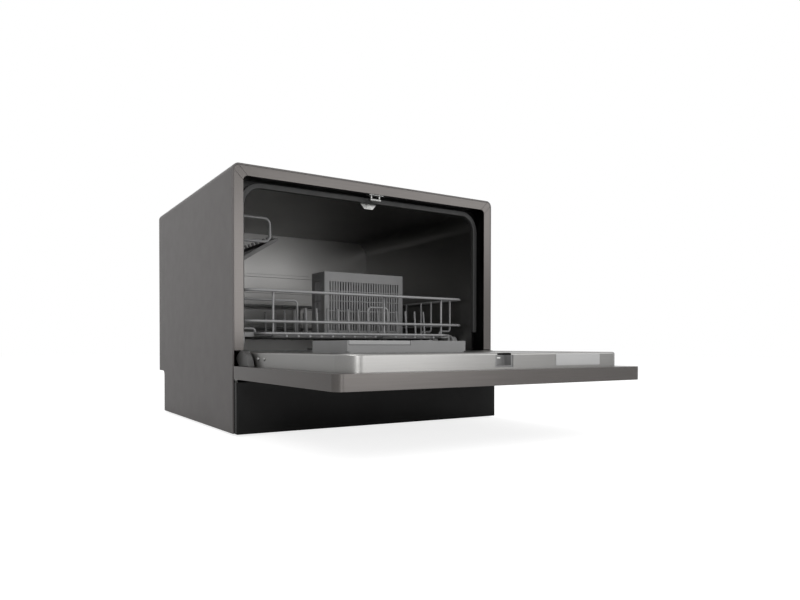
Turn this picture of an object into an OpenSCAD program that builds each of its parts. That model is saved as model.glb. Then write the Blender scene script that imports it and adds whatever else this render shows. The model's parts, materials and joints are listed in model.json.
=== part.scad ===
// Countertop dishwasher: cabinet, drop-down door, roll-out rack and the works under the tub.
// X runs to the right, Y to the back and Z up. The door is drawn open and the rack pushed in.

/* [Cabinet] */
// Width over the casing
body_w = 550; // [520:1:600]
// Depth from the front frame to the rear edge of the casing
body_d = 479; // [470:1:520]
// Height from the worktop to the top of the casing
body_h = 438; // [425:1:470]
// Thickness of the casing's sheet
sheet_t = 1; // [0.8:0.1:1.5]
// Radius of the casing's two long top edges
edge_r = 12; // [8:1:20]
// Height of the rubber feet
foot_h = 3; // [2:0.5:8]
// Radius of a foot
foot_r = 14; // [10:1:20]
// Distance of a foot's centre from the cabinet's sides, front and back
foot_inset = 45; // [30:1:80]
// Depth of the notch for the hoses, low down at the back
notch_d = 42; // [36:1:44]
// Height of that notch
notch_h = 90; // [86:1:96]
// Radius of the step at the top of the notch
notch_r = 10; // [4:1:14]

/* [Front frame] */
// Width of the fold along the casing's front edge
fold_w = 3; // [2:0.5:5]
// Width of the frame between the casing's edge and the opening
band_w = 19; // [16:0.5:22]
// Thickness of the frame's front plate
band_t = 1.2; // [1:0.1:2]
// Depth of the recess that the closed door's inner panel enters
recess_d = 30; // [28:1:36]
// Radius of the opening's upper corners
recess_r = 8; // [4:1:14]
// Width of the grooves that set off the corner pieces
mitre_w = 0.6; // [0.3:0.1:1]
// Width of the corner pieces
mitre_gap = 11; // [8:1:14]

/* [Kick plate] */
// Height of the kick plate's top above the worktop
kick_top = 87; // [84:1:92]
// How far the kick plate stands out from the front frame
kick_out = 15; // [12:1:18]
// Wall of the kick plate
kick_wall = 2.5; // [1.5:0.5:4]
// Distance of the kick plate's ends from the cabinet's sides
kick_side = 2; // [1:0.5:6]

/* [Tub] */
// Distance of the tub's inner side faces from the cabinet's sides
tub_side_gap = 25; // [24:0.5:30]
// Distance of the tub's ceiling from the top of the cabinet
tub_top_gap = 28; // [26:1:34]
// Distance of the tub's back wall from the rear edge of the casing
tub_back_gap = 33; // [25:1:36]
// Radius of the tub's upper corners
tub_r = 34; // [20:1:40]
// Thickness of the tub's sheet
tub_t = 1; // [0.6:0.1:1.5]
// Height of the tub's floor above the worktop
floor_z = 108; // [104:1:112]
// Width of the ledges that the rack's wheels roll on
ledge_w = 38; // [30:1:44]
// Width of the rubber gasket's face
gasket_w = 9; // [7:0.5:9]
// Height of a pressed rib on the back wall
rib_h = 7; // [5:1:10]
// How many ribs the back wall has
rib_count = 4; // [2:1:5]

/* [Door] */
// Thickness of the door's outer panel
door_t = 20.7; // [18:0.1:24]
// Height of the inner panel above the outer one
liner_t = 22.9; // [20:0.1:24]
// Gap between the closed door and the front frame
door_gap = 2; // [1:0.1:4]
// Gap between the open door and the kick plate
kick_gap = 4.1; // [3:0.1:8]
// Gap between the closed door's upper edge and the top of the cabinet
door_top_gap = 4; // [2:0.5:8]
// Distance from the hinge axis to the door's outer face
hinge_out = 11.3; // [10:0.1:12]
// Distance from the hinge axis to the door's lower edge
door_heel = 8.4; // [7:0.1:10]
// Radius of the outer panel's upper corners
door_r = 12; // [4:1:20]
// Radius of the inner panel's upper corners
liner_r = 28; // [15:1:40]
// Distance of the inner panel's sides from the cabinet's sides
liner_side = 22.5; // [22:0.1:24]
// Radius of the hinge pins
pin_r = 5; // [4:0.5:6]
// Length of the pocket that is the door's grip
grip_l = 120; // [90:1:180]
// Width of that pocket
grip_w = 22; // [18:1:24]

/* [Detergent dispenser] */
// Length of the dispenser along the door's width
dispenser_l = 195; // [180:1:205]
// Width of the dispenser from its upper to its lower edge
dispenser_w = 104; // [98:1:110]
// Height of the dispenser above the inner panel
dispenser_h = 16.5; // [14:0.5:17]
// Travel of the sliding lid
lid_travel = 46; // [30:1:48]
// Radius of the rinse aid cap
cap_r = 16; // [12:1:20]

/* [Rack] */
// Distance from the pushed-in rack to the tub's back wall
rack_back_gap = 15; // [12:1:24]
// How far the rack rolls out
rack_travel = 326; // [250:1:330]
// Distance from the front frame to the pushed-in rack
rack_front = 41; // [40.5:0.5:46]
// Distance of the rack's sides from the tub's sides
rack_side = 10; // [9.5:0.5:14]
// Radius of the rails' corners
rail_r = 18; // [14:1:40]
// Radius of the thick wires
rail_wire = 2.5; // [2:0.1:3]
// Radius of the thin wires
thin_wire = 2; // [1.5:0.1:2.3]
// Height of the top rail above the wheels' track
top_rail_h = 105; // [98:1:112]
// Height of the middle rail above the wheels' track
mid_rail_h = 52; // [50:1:60]
// Height of the base rail above the wheels' track
base_rail_h = 31; // [29:0.5:33]
// Distance between the long base wires
base_pitch = 23; // [20:0.5:30]
// Height of the plate tines above the base wires
tine_h = 53; // [40:1:60]
// Lean of the plate tines, in degrees
tine_lean = 6; // [0:1:10]

/* [Wheels] */
// Radius of a wheel's running flange
wheel_r = 16; // [14:0.5:16.5]
// Width of a wheel
wheel_w = 15; // [10:0.5:16]
// Radius of a wheel's spoked drum
drum_r = 13; // [10:0.5:13.5]
// Radius of the axles
axle_r = 3; // [2:0.1:4]
// Distance between the two wheels of a pair
wheel_pitch = 64; // [45:1:66]

/* [Cup shelf] */
// Height of the cup rack's top rail above the wheels' track
cup_top_h = 250; // [245:1:254]
// Height between the cup rack's two rails
cup_rail_gap = 44; // [30:1:60]
// Height of the shelf's pivot above the wheels' track
shelf_pivot_h = 153; // [148:1:156]
// Width of the shelf from its pivot to its comb
shelf_w = 116; // [90:1:118]
// Slope of the shelf in use, in degrees
shelf_tilt = 32; // [20:1:35]

/* [Cutlery basket] */
// Length of the basket across the rack
basket_l = 187; // [150:1:200]
// Depth of the basket
basket_d = 55; // [45:1:57]
// Height of the basket
basket_h = 124; // [100:1:126]
// Thickness of the basket's walls
basket_t = 2; // [1.5:0.1:3]
// Distance between the slots of the basket's walls
slot_pitch = 6; // [5:0.5:10]

/* [Spray arm and filter] */
// Reach of the spray arm from its hub
arm_reach = 192; // [150:1:195]
// Radius of the sump's mouth
sump_r = 58; // [50:1:62]
// Radius of the filter cup
filter_r = 30; // [24:1:32]
// Radius of the circulation pump's motor
pump_r = 32; // [26:1:35]

/* [Water and mains] */
// Outer radius of the inlet's three-quarter inch thread
inlet_r = 13.2; // [10:0.1:15]
// Outer radius of the drain spigot
spigot_r = 9; // [7:0.1:12]
// Bore radius of the mains gland
gland_bore_r = 4.2; // [3:0.1:6]

/* [Clearances] */
// Gap between the wheels and what they roll on
roll_gap = 0.3; // [0.2:0.1:0.6]
// Gap at a spot weld or a clip between two wires
weld_gap = 0.1; // [0.05:0.01:0.2]
// Radial gap between a pin or an axle and its hole
pin_gap = 0.05; // [0.02:0.01:0.1]
// Gap between pieces that move past each other
slide_gap = 0.3; // [0.2:0.1:0.6]

/* [Hidden] */
$fn = 48;
arc_steps = 10;

// Colours
casing_grey = [0.34, 0.32, 0.31];
frame_grey = [0.5, 0.48, 0.47];
steel = [0.72, 0.72, 0.71];
wire_grey = [0.6, 0.6, 0.61];
plastic_grey = [0.5, 0.5, 0.5];
gloss_black = [0.05, 0.05, 0.05];
rubber_black = [0.03, 0.03, 0.03];

// Hinge axis and the open door, measured from the front frame's face
half_w = body_w / 2;
hinge_in = door_t - hinge_out;
hinge_y = -(door_gap + hinge_in);
hinge_z = kick_top + kick_gap + hinge_out;
panel_bottom = hinge_z - hinge_out;
panel_top = hinge_z + hinge_in;
track_z = panel_top + liner_t;
door_reach = body_h - door_top_gap - hinge_z;
door_front = hinge_y - door_reach;
door_back = hinge_y + door_heel;
front_y = -(body_d + door_front) / 2;

// Tub
tub_x = half_w - tub_side_gap;
tub_z = body_h - tub_top_gap;
tub_back_y = body_d - tub_back_gap;
recess_x = half_w - band_w;
recess_z = body_h - band_w;
band_bottom = track_z + 2.3;
sill_y = 22.2;
liner_x = half_w - liner_side;
liner_gap = 3;
liner_reach = recess_z - liner_gap - hinge_z;
liner_front = hinge_y - liner_reach;
liner_round = track_z - hinge_z;
liner_face_y = hinge_y + liner_round;
cheek_r = liner_round + 0.9;

// Dispenser
dispenser_x0 = -liner_x + 33;
dispenser_y0 = liner_front + 53;
dispenser_top = track_z + dispenser_h;
bay_l = 99;
lid_w = 50;
lid_t = 4;

// Rack
rack_d = tub_back_y - rack_back_gap - rack_front;
rack_x = tub_x - rack_side;
side_wire_x = rack_x - 2 * rail_wire - thin_wire - weld_gap;
top_rail_z = track_z + top_rail_h;
mid_rail_z = track_z + mid_rail_h;
base_rail_z = track_z + base_rail_h;
long_wire_z = base_rail_z - rail_wire - thin_wire - weld_gap;
cross_z = long_wire_z + 2 * thin_wire + weld_gap;
base_x = 205;
tine_base_z = long_wire_z + thin_wire + weld_gap;
basket_x0 = -37;
basket_f = 95;
basket_z = cross_z + thin_wire + roll_gap;
tine_f = [62, 160, rack_d - 130];
post_x = rack_x + rail_wire + weld_gap;
post_bend = 5.5;
shelf_post_x = post_x - 2 * post_bend - 0.1;
cup_top_z = track_z + cup_top_h;
cup_low_z = cup_top_z - cup_rail_gap;
cup_front_f = 104;
cup_back_f = rack_d - 12;
post_f = [cup_front_f, rack_d - 192, rack_d - 105, cup_back_f - 14];
cup_out_x = 149;
pivot_x = shelf_post_x - rail_wire - thin_wire - weld_gap;
pivot_z = track_z + shelf_pivot_h;
wheel_z = track_z + roll_gap + wheel_r;
wheel_x = rack_x - 2;
wheel_f1 = 41;
wheel_f2 = wheel_f1 + wheel_pitch;
wheel_f3 = rack_d - 17 - wheel_pitch;
wheel_f4 = rack_d - 17;
carrier_x = wheel_x - wheel_w / 2;
head_x = wheel_x + wheel_w / 2 + 0.4;

// Works under the tub
arm_y = (sill_y + tub_back_y) / 2;
arm_z = 126;
arm_t = 9;
stub_r = 6;
sump_x = 85;
rear_wall_y = body_d - notch_d;
port_z = 45;
inlet_x = 85 - half_w;
spigot_x = 140 - half_w;
gland_x = half_w - 90;
valve_y = rear_wall_y - 52;
hose_y = tub_back_y - 106;
pump_x0 = 125 - half_w;
sump_floor_z = floor_z - 43;
drain_pump_x = sump_x;

// Places everything so that the origin is under the middle of the whole object
module from_front() translate([0, front_y, 0]) children();

// A box between two values on each axis
module block(x, y, z) {
    translate([x[0], y[0], z[0]]) cube([x[1] - x[0], y[1] - y[0], z[1] - z[0]]);
}

// A flat shape in X and Z, extruded along Y
module along_y(y0, y1) {
    translate([0, y1, 0]) rotate([90, 0, 0]) linear_extrude(y1 - y0) children();
}

// A flat shape in Y and Z, extruded along X
module along_x(x0, x1) {
    translate([x0, 0, 0]) rotate([90, 0, 90]) linear_extrude(x1 - x0) children();
}

// A round bar along one axis
module bar_x(x0, x1, y, z, r) translate([x0, y, z]) rotate([0, 90, 0]) cylinder(h = x1 - x0, r = r);
module bar_y(x, y0, y1, z, r) translate([x, y1, z]) rotate([90, 0, 0]) cylinder(h = y1 - y0, r = r);
module bar_z(x, y, z0, z1, r) translate([x, y, z0]) cylinder(h = z1 - z0, r = r);

// Repeats a piece on the left and on the right
module both_sides() {
    children();
    mirror([1, 0, 0]) children();
}

// Points of an arc from one angle to another
function arc(x, y, r, a0, a1) = [
    for (i = [0 : arc_steps]) let (a = a0 + (a1 - a0) * i / arc_steps) [x + r * cos(a), y + r * sin(a)]
];

// Outline of an arch: straight sides, a flat top and two round upper corners
function arch(x, z0, z1, r) = concat(
    [[-x, z0], [x, z0]], arc(x - r, z1 - r, r, 0, 90), arc(r - x, z1 - r, r, 90, 180)
);

// Outline of a plate whose front corners are round, seen from above
function front_plate(x, y0, y1, r) = concat(
    [[x, y1], [-x, y1]], arc(r - x, y0 + r, r, 180, 270), arc(x - r, y0 + r, r, 270, 360)
);

// Outline of a rectangle with four round corners
function round_rect(x0, x1, y0, y1, r) = concat(
    arc(x1 - r, y1 - r, r, 0, 90), arc(x0 + r, y1 - r, r, 90, 180),
    arc(x0 + r, y0 + r, r, 180, 270), arc(x1 - r, y0 + r, r, 270, 360)
);

function unit(v) = v / norm(v);
function turn(a, b) = acos(unit(a) * unit(b));
function cut_back(p, i, bend) = (i == 0 || i == len(p) - 1) ? 0
    : bend * tan(turn(p[i] - p[i - 1], p[i + 1] - p[i]) / 2);

// A straight round bar between two points
module straight(a, b, r) {
    ez = unit(b - a);
    side = abs(ez[2]) > 0.9 ? [1, 0, 0] : [0, 0, 1];
    ex = unit(cross(side, ez));
    ey = cross(ez, ex);
    multmatrix([
        [ex[0], ey[0], ez[0], a[0]], [ex[1], ey[1], ez[1], a[1]], [ex[2], ey[2], ez[2], a[2]], [0, 0, 0, 1]
    ]) cylinder(h = norm(b - a), r = r);
}

// The bend of a round bar at a corner
module elbow(corner, before, after, bend, r) {
    ey = unit(before);
    angle = turn(before, after);
    ex = -unit(unit(after) - (unit(after) * ey) * ey);
    ez = cross(ex, ey);
    c = corner - ey * bend * tan(angle / 2) - ex * bend;
    multmatrix([
        [ex[0], ey[0], ez[0], c[0]], [ex[1], ey[1], ez[1], c[1]], [ex[2], ey[2], ez[2], c[2]], [0, 0, 0, 1]
    ]) rotate_extrude(angle = angle) translate([bend, 0]) circle(r);
}

// A round wire along a list of points, bent at each corner between its ends
module wire(p, r, bend) {
    for (i = [0 : len(p) - 2]) {
        d = unit(p[i + 1] - p[i]);
        straight(p[i] + d * cut_back(p, i, bend), p[i + 1] - d * cut_back(p, i + 1, bend), r);
    }
    if (len(p) > 2) {
        for (i = [1 : len(p) - 2]) elbow(p[i], p[i] - p[i - 1], p[i + 1] - p[i], bend, r);
    }
}

// A point of the rack: across, back from the rack's front edge, and up
function rack_point(x, f, z) = [x, rack_front + f, z];

// ---- Cabinet ----

module outer_casing() color(casing_grey) from_front() difference() {
    union() {
        along_y(0, body_d) difference() {
            polygon(arch(half_w, foot_h, body_h, edge_r));
            polygon(arch(half_w - sheet_t, foot_h - 1, body_h - sheet_t, edge_r - sheet_t));
        }
        along_y(0, band_t) difference() {
            polygon(arch(half_w, foot_h, body_h, edge_r));
            polygon(arch(half_w - fold_w, foot_h - 1, body_h - fold_w, edge_r - fold_w));
        }
    }
    // Notch at the back, with a rounded step
    along_x(-half_w - 1, half_w + 1) polygon(concat(
        [[body_d + 1, notch_h + 1], [body_d, notch_h]],
        arc(rear_wall_y + notch_r, notch_h - notch_r, notch_r, 90, 180),
        [[rear_wall_y, foot_h - 1], [body_d + 1, foot_h - 1]]
    ));
}

// Frame around the opening: front plate, return into the recess and grooved corners
module front_frame() color(frame_grey) from_front() difference() {
    union() {
        along_y(0.2, 0.2 + band_t) difference() {
            frame_outline(half_w - fold_w - 0.2, body_h - fold_w - 0.2, edge_r - fold_w, band_bottom);
            frame_outline(recess_x, recess_z, recess_r, band_bottom - 1);
        }
        along_y(0.2, recess_d) difference() {
            frame_outline(recess_x + sheet_t, recess_z + sheet_t, recess_r + sheet_t, band_bottom);
            frame_outline(recess_x, recess_z, recess_r, band_bottom - 1);
        }
    }
    both_sides() for (z = [-mitre_gap / 2, mitre_gap / 2]) {
        translate([recess_x + band_w / 2, 0, recess_z + band_w / 2]) rotate([0, -45, 0])
            block([-band_w, band_w], [0, 0.8], [z - mitre_w / 2, z + mitre_w / 2]);
    }
}

module frame_outline(x, z, r, z0) polygon(arch(x, z0, z, r));

module kick_plate() color(gloss_black) from_front() difference() {
    translate([0, 0, foot_h]) linear_extrude(kick_top - foot_h)
        polygon(front_plate(half_w - kick_side, -kick_out, -0.3, 3));
    block(
        [-half_w + kick_side + kick_wall, half_w - kick_side - kick_wall],
        [-kick_out + kick_wall, 1], [foot_h + kick_wall, kick_top - kick_wall]
    );
}

// Back of the cabinet: one bent sheet that steps in at the notch, with vents and holes for the ports
module rear_panel() color(casing_grey) from_front() {
    out_y = body_d - 2;
    step_z = notch_h + 1;
    difference() {
        intersection() {
            along_x(-half_w, half_w) polygon([
                [rear_wall_y - 1, foot_h + 1], [rear_wall_y, foot_h + 1], [rear_wall_y, step_z],
                [out_y, step_z],
                [out_y, body_h], [out_y - 1, body_h], [out_y - 1, step_z + 1],
                [rear_wall_y - 1, step_z + 1]
            ]);
            along_y(0, body_d) polygon(arch(half_w - 1.5, foot_h, body_h - 2, edge_r - 1.5));
        }
        for (i = [-5 : 5]) {
            block([i * 16 - 2.5, i * 16 + 2.5], [out_y - 2, out_y + 1], [330, 380]);
        }
        for (x = [inlet_x, spigot_x, gland_x]) bar_y(x, rear_wall_y - 2, rear_wall_y + 1, port_z, 8);
    }
}

module base_tray() color(plastic_grey) from_front() {
    x = half_w - sheet_t - 0.5;
    y1 = rear_wall_y - 1.3;
    wall_z = foot_h + 25;
    difference() {
        block([-x, x], [1.6, y1], [foot_h, wall_z]);
        block([-x + 2, x - 2], [3.6, y1 - 2], [foot_h + 3, wall_z + 1]);
    }
}

module feet() color(rubber_black) from_front() {
    for (x = [-half_w + foot_inset, half_w - foot_inset], y = [foot_inset, rear_wall_y - foot_inset]) {
        bar_z(x, y, 0, foot_h, foot_r);
    }
}

// ---- Tub ----

// Sides, ceiling and front flange of the tub
module tub_wrap() color(steel) from_front() {
    along_y(recess_d + 0.2, tub_back_y) difference() {
        polygon(arch(tub_x + tub_t, track_z + 0.3, tub_z + tub_t, tub_r + tub_t));
        polygon(arch(tub_x, track_z - 1, tub_z, tub_r));
    }
    along_y(recess_d + 0.2, recess_d + 0.2 + tub_t) difference() {
        polygon(arch(recess_x + sheet_t, band_bottom, recess_z + sheet_t, recess_r + sheet_t));
        polygon(arch(tub_x, track_z - 1, tub_z, tub_r));
    }
}

// Back wall with pressed ribs
module tub_back() color(steel) from_front() {
    along_y(tub_back_y + 0.1, tub_back_y + 0.1 + tub_t)
        polygon(arch(tub_x + tub_t, floor_z - 3, tub_z + tub_t, tub_r + tub_t));
    for (i = [0 : rib_count - 1]) {
        z = track_z + 60 + i * 38;
        block([-tub_x + 40, tub_x - 40], [tub_back_y - 1.5, tub_back_y + 0.5], [z, z + rib_h]);
    }
}

// Floor with a ledge for the wheels on each side and a hole for the sump
module tub_floor() color(steel) from_front() {
    in_x = tub_x - ledge_w;
    top = [
        [-tub_x, track_z], [-in_x, track_z], [-in_x + 14, floor_z],
        [in_x - 14, floor_z], [in_x, track_z], [tub_x, track_z]
    ];
    difference() {
        union() {
            along_y(sill_y, tub_back_y) polygon(concat(top, [for (i = [5 : -1 : 0]) top[i] - [0, tub_t]]));
            along_y(sill_y, sill_y + tub_t) polygon([
                [-tub_x, floor_z - 3], [tub_x, floor_z - 3], [tub_x, track_z],
                [in_x, track_z], [in_x - 6, track_z - 8], [6 - in_x, track_z - 8],
                [-in_x, track_z], [-tub_x, track_z]
            ]);
        }
        bar_z(sump_x, arm_y, floor_z - 2, floor_z + 1, sump_r);
        bar_z(0, arm_y, floor_z - 2, floor_z + 1, stub_r + 5);
    }
}

// Rubber seal around the sides and the top of the opening
module door_gasket() color(rubber_black) from_front() {
    x1 = recess_x - 0.5;
    z1 = recess_z - 3;
    along_y(liner_face_y + 0.4, recess_d - 0.1) difference() {
        polygon(arch(x1, track_z + 37, z1, tub_r + gasket_w - 3));
        polygon(arch(x1 - gasket_w, track_z + 36, z1 - gasket_w, tub_r - 3));
    }
}

// Loop that the door's catch holds on to, with the folded plate behind it
module latch_striker() color(steel) from_front() {
    latch_y = hinge_y + liner_round * 0.6;
    block([-15, 15], [latch_y - 5, latch_y + 5], [recess_z - 1.6, recess_z - 0.1]);
    both_sides() bar_z(8.5, latch_y, recess_z - 9, recess_z - 1, 2);
    bar_x(-11, 11, latch_y, recess_z - 9, 2.8);
    // Folded plate behind the striker
    y0 = recess_d + tub_t + 0.4;
    along_y(y0, y0 + 2) polygon([[-20, tub_z - 0.2], [20, tub_z - 0.2], [9, tub_z - 12], [-9, tub_z - 12]]);
    block([-5, 5], [y0 - 1, y0 + 1], [tub_z - 10, tub_z - 4]);
}

// ---- Water side ----

module sump() color(plastic_grey) from_front() translate([sump_x, arm_y, 0]) rotate_extrude() polygon([
    [0, sump_floor_z - 3], [sump_r - 2, sump_floor_z - 3], [sump_r - 2, floor_z - 4],
    [sump_r + 14, floor_z - 4], [sump_r + 14, floor_z - 1.1], [sump_r - 5, floor_z - 1.1],
    [sump_r - 5, sump_floor_z], [0, sump_floor_z]
]);

// Flat ring of fine mesh in the sump's mouth
module fine_filter() color(steel) from_front() translate([sump_x, arm_y, floor_z - 4]) difference() {
    cylinder(h = 1.5, r = sump_r - 5.3);
    translate([0, 0, -1]) cylinder(h = 4, r = filter_r + 1.5);
    for (ring = [0 : 1], i = [0 : 17]) {
        rotate(i * 20 + ring * 10) translate([filter_r + 7 + ring * 7, 0, -1])
            cylinder(h = 4, r = 1.6, $fn = 16);
    }
}

// Filter cup that twists out by its grip
module coarse_filter() color(plastic_grey) from_front() translate([sump_x, arm_y, 0]) {
    bottom_z = sump_floor_z + 0.5;
    difference() {
        union() {
            translate([0, 0, bottom_z]) cylinder(h = 38, r = filter_r);
            translate([0, 0, floor_z - 2.2]) cylinder(h = 3.2, r = filter_r + 6);
            translate([0, 0, bottom_z + 37]) cylinder(h = 4, r = filter_r + 1.2);
        }
        translate([0, 0, bottom_z + 2]) cylinder(h = 60, r = filter_r - 2);
        for (i = [0 : 7], level = [0 : 1]) {
            translate([0, 0, bottom_z + 12 + level * 12]) rotate([90, 0, i * 45 + level * 22.5])
                translate([0, 0, filter_r - 4]) cylinder(h = 6, r = 3.2, $fn = 16);
        }
    }
    block([-filter_r + 1, filter_r - 1], [-2.5, 2.5], [floor_z + 1, floor_z + 9]);
    both_sides() block([filter_r - 3, filter_r + 4], [-2.5, 2.5], [floor_z + 0.9, floor_z + 9]);
}

// Stub pipe that carries the spray arm, with the nut that holds it
module spray_arm_stand() color(plastic_grey) from_front() translate([0, arm_y, 0]) {
    translate([0, 0, floor_z - 20]) cylinder(h = 21 + 1, r = stub_r + 4.8);
    translate([0, 0, floor_z + 0.2]) cylinder(h = arm_z - floor_z - 0.5, r = stub_r + 12);
    translate([0, 0, floor_z + 1]) cylinder(h = arm_z + arm_t + 5 - floor_z, r = stub_r);
    translate([0, 0, arm_z + arm_t + 4.3]) cylinder(h = 5, r = stub_r + 5, $fn = 12);
}

// Flat hollow arm with upward jets
module spray_arm() color(plastic_grey) from_front() translate([0, arm_y, arm_z]) difference() {
    union() {
        cylinder(h = arm_t + 4, r = 24);
        for (a = [0, 180]) rotate(a) linear_extrude(arm_t) polygon([
            [0, -22], [60, -19], [arm_reach - 12, -13], [arm_reach - 3, -8], [arm_reach, 0],
            [arm_reach - 3, 8], [arm_reach - 12, 12], [60, 15], [0, 18]
        ]);
    }
    translate([0, 0, -1]) cylinder(h = arm_t + 8, r = stub_r + pin_gap);
    for (a = [0, 180], i = [0 : 4]) {
        rotate(a) translate([50 + i * 32, (i % 2) * 8 - 5, arm_t - 3]) cylinder(h = 5, r = 1.6, $fn = 16);
    }
}

// Circulation pump, lying on the tray beside the sump, and the drain pump behind it
module pumps() color(plastic_grey) from_front() {
    z = foot_h + 3 + pump_r + 6;
    bar_x(pump_x0, -40, arm_y, z, pump_r);
    bar_x(-41, -8, arm_y, z, pump_r + 4);
    bar_x(-8.1, sump_x - sump_r + 1.5, arm_y, floor_z - 34, 9);
    bar_z(0, arm_y, floor_z - 40, floor_z - 20.2, 8);
    for (x = [pump_x0 + 10, -60]) {
        block([x, x + 12], [arm_y - 26, arm_y + 26], [foot_h + 3, foot_h + 3 + pump_r / 2]);
    }
    drain_z = foot_h + 3 + 26;
    bar_y(drain_pump_x, arm_y + 75, arm_y + 135, drain_z, 20);
    bar_y(drain_pump_x, arm_y + 58, arm_y + 76, drain_z, 25);
    block([drain_pump_x - 15, drain_pump_x + 15], [arm_y + 90, arm_y + 120], [foot_h + 3, drain_z]);
    bar_z(drain_pump_x, arm_y + sump_r + 6.4, drain_z, floor_z - 30, 8);
}

module inlet_valve() color([0.85, 0.85, 0.82]) from_front() {
    block([inlet_x - 16, inlet_x + 16], [valve_y, valve_y + 38], [port_z - 16, port_z + 16]);
    bar_z(inlet_x, valve_y + 14, port_z + 15, port_z + 34, 10);
    bar_y(inlet_x, valve_y + 37, rear_wall_y - 1.2, port_z, 7);
    block([inlet_x - 10, inlet_x + 10], [valve_y + 8, valve_y + 30], [foot_h + 3, port_z - 15]);
}

// Flow heater beside the pump
module water_heater() color(steel) from_front() {
    bar_x(pump_x0, -12, arm_y - 70, foot_h + 26, 16);
    for (x = [pump_x0 + 10, -34]) block([x, x + 12], [arm_y - 82, arm_y - 58], [foot_h + 3, foot_h + 20]);
}

// Flat water chamber between the tub and the left side of the casing
module air_break() color([0.8, 0.8, 0.78]) from_front() {
    x0 = -half_w + sheet_t + 0.4;
    x1 = -tub_x - tub_t - 2.5;
    block([x0, x1], [hose_y - 210, hose_y + 50], [track_z + 20, tub_z - 45]);
    bar_z((x0 + x1) / 2, hose_y, track_z - 8, track_z + 21, 7);
}

// Hoses from the inlet valve to the water chamber and from the drain pump to the spigot
module inner_hoses() color([0.3, 0.3, 0.3]) from_front() {
    hose_x = -half_w + sheet_t + 11;
    wire([
        [inlet_x, valve_y + 14, port_z + 34.2], [inlet_x, valve_y + 14, port_z + 48],
        [hose_x, valve_y + 14, port_z + 48], [hose_x, hose_y, port_z + 48], [hose_x, hose_y, track_z - 8.2]
    ], 6, 10);
    z = foot_h + 3 + 26;
    wire([
        [drain_pump_x - 25.2, arm_y + 67, z], [spigot_x, arm_y + 67, z],
        [spigot_x, arm_y + 67, port_z], [spigot_x, rear_wall_y - 1.2, port_z]
    ], 7, 8);
}

module inlet_connector() color(steel) from_front() difference() {
    union() {
        bar_y(inlet_x, rear_wall_y + 0.1, rear_wall_y + 3, port_z, inlet_r + 4);
        bar_y(inlet_x, rear_wall_y + 2, rear_wall_y + 16, port_z, inlet_r);
        bar_y(inlet_x, rear_wall_y - 1, rear_wall_y + 1, port_z, 7.8);
    }
    bar_y(inlet_x, rear_wall_y - 2, rear_wall_y + 17, port_z, 5);
}

module drain_spigot() color(plastic_grey) from_front() difference() {
    union() {
        bar_y(spigot_x, rear_wall_y + 0.1, rear_wall_y + 3, port_z, spigot_r + 5);
        bar_y(spigot_x, rear_wall_y + 2, rear_wall_y + 26, port_z, spigot_r);
        bar_y(spigot_x, rear_wall_y - 1, rear_wall_y + 1, port_z, 7.8);
    }
    bar_y(spigot_x, rear_wall_y - 2, rear_wall_y + 27, port_z, 6);
}

// Strain relief for the mains cord, which is left out
module cable_gland() color(rubber_black) from_front() difference() {
    union() {
        bar_y(gland_x, rear_wall_y + 0.1, rear_wall_y + 4, port_z, 13);
        bar_y(gland_x, rear_wall_y + 3, rear_wall_y + 12, port_z, 8);
        bar_y(gland_x, rear_wall_y - 1, rear_wall_y + 1, port_z, 7.8);
    }
    bar_y(gland_x, rear_wall_y - 2, rear_wall_y + 13, port_z, gland_bore_r);
}

// Screws that hold the rear panel
module casing_screws() color(steel) from_front() {
    for (x = [-half_w + 20, 0, half_w - 20], z = [notch_h + 18, body_h - 16]) {
        bar_y(x, body_d - 2, body_d - 0.4, z, 4);
    }
}

// ---- Hinges ----

bracket_x0 = half_w - 10;
bracket_x1 = half_w - 5;
lug_r = 8;

// Fixed plates beside the tub, each with the pin that the door turns on
module hinge_brackets() color(steel) from_front() both_sides() {
    along_x(bracket_x0, bracket_x1) union() {
        translate([hinge_y, hinge_z]) circle(lug_r);
        polygon([
            [hinge_y, hinge_z - lug_r], [3, hinge_z - lug_r], [3, 40], [8, foot_h + 3], [60, foot_h + 3],
            [60, 90], [30, hinge_z + lug_r], [hinge_y, hinge_z + lug_r]
        ]);
    }
    bar_x(half_w - 19.5, bracket_x0 + 1, hinge_y, hinge_z, pin_r);
    bar_x(bracket_x0 - 12, bracket_x0 + 1, 40, 70, 6);
}

// Counterbalance springs, wound on the brackets' posts
module hinge_springs() color([0.35, 0.35, 0.36]) from_front() both_sides() difference() {
    bar_x(bracket_x0 - 11.5, bracket_x0 - 0.3, 40, 70, 10);
    bar_x(bracket_x0 - 12, bracket_x0 + 1, 40, 70, 6.3);
}

// Lowest angle of the round end of the inner panel and the cheeks, clear of the kick plate when closed
round_a = 40;
boss_r = pin_r + 3.6;

// Round cheeks at the door's lower corners, which turn on the pins
module hinge_cheeks() color(plastic_grey) from_front() both_sides() {
    low = panel_top + 0.1 - hinge_z;
    along_x(liner_x + 2, bracket_x0 - 1) translate([hinge_y, hinge_z]) difference() {
        union() {
            polygon(concat(
                arc(0, 0, cheek_r, round_a, 180 - asin(low / cheek_r)),
                [[-boss_r, low], [-boss_r, 0], [0, 0]]
            ));
            circle(boss_r);
        }
        circle(pin_r + pin_gap);
    }
}

// ---- Door, drawn open ----

fascia_y0 = door_front + 34;
fascia_y1 = fascia_y0 + 40;
fascia_x = 130;
button_r = 7;
button_y = (fascia_y0 + fascia_y1) / 2;
button_x = [-100, -70, 100];
button_out = 0.7;

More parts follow.
